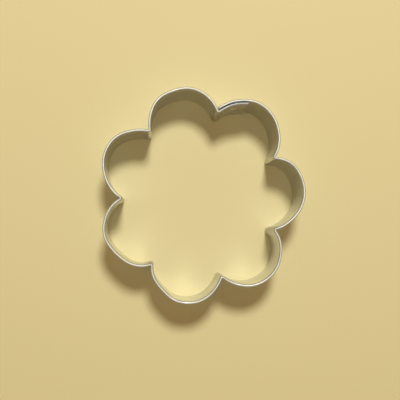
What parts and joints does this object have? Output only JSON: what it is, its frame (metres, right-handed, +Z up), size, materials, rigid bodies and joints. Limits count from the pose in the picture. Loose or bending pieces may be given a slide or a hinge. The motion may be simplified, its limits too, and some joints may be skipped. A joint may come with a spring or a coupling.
{
  "type": "flower pastry cutter",
  "caption": "Open flower-shaped cutter for dough: a hemmed tinplate strip bent into round petals, lapped and spot welded in one petal, with a plain cutting edge below.",
  "frame": {"origin": "middle of the cutter's box, on the plane of its cutting edge", "axes": "+Z up from the cutting edge to the hemmed edge, +Y the way the cutter is longest, +X to the right seen from above"},
  "size_m": [0.0778, 0.0828, 0.022],
  "materials": {
    "tinplate": "bright tinplate with fine rolling lines and light scratches",
    "weld": "dull, slightly darkened weld marks"
  },
  "bodies": {
    "root": {"cutter_band": "tinplate", "spot_welds": "weld"}
  },
  "joints": []
}
